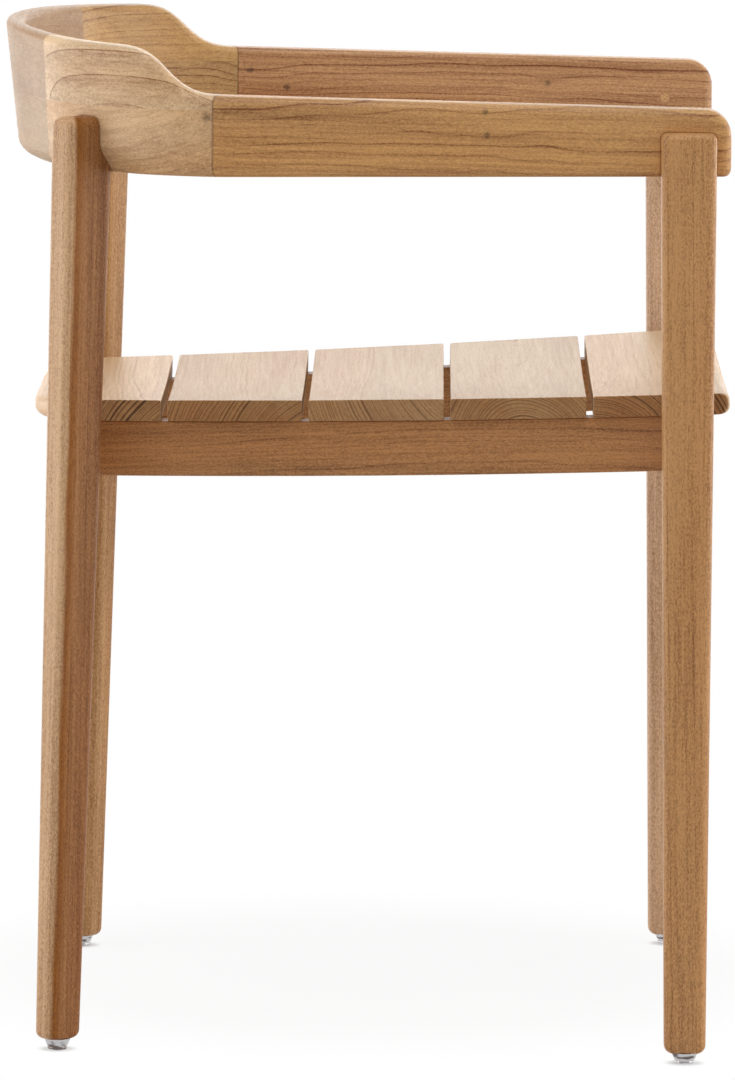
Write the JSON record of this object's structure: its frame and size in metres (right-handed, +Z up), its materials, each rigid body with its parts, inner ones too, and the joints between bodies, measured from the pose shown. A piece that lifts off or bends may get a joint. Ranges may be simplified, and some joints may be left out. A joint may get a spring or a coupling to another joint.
{
  "type": "garden armchair",
  "caption": "Slatted teak garden armchair with a horseshoe rail of glued layers that rises at the corners from the arms to a curved back, on slim tapered legs.",
  "frame": {"origin": "on the floor, under the middle of the chair's outline", "axes": "-Y is the front, +Z is up, -X is the sitter's right"},
  "size_m": [0.548, 0.531, 0.7346],
  "materials": {
    "teak_leg": "oiled teak, fine straight grain",
    "teak_rail": "oiled teak, figured grain",
    "teak_slat": "sanded pale teak",
    "teak_frame": "oiled dark teak",
    "teak_plug": "teak plug sanded flush",
    "dowel_wood": "raw beech",
    "steel": "plated steel"
  },
  "bodies": {
    "root": {"front_leg_right": "teak_leg", "front_leg_left": "teak_leg", "rear_leg_right": "teak_leg", "rear_leg_left": "teak_leg", "arm_right": "teak_rail", "arm_left": "teak_rail", "corner_lower_right": "teak_rail", "corner_lower_left": "teak_rail", "corner_upper_right": "teak_rail", "corner_upper_left": "teak_rail", "back_lower": "teak_rail", "back_upper": "teak_rail", "seat_slat_1": "teak_slat", "seat_slat_2": "teak_slat", "seat_slat_3": "teak_slat", "seat_slat_4": "teak_slat", "seat_slat_5": "teak_slat", "side_rail_right": "teak_frame", "side_rail_left": "teak_frame", "front_cross_rail": "teak_frame", "rear_cross_rail": "teak_frame", "rail_dowels": "dowel_wood", "slat_dowels": "dowel_wood", "frame_screws": "steel", "screw_plugs": "teak_plug", "glides": "steel", "glide_nails": "steel"}
  },
  "joints": []
}
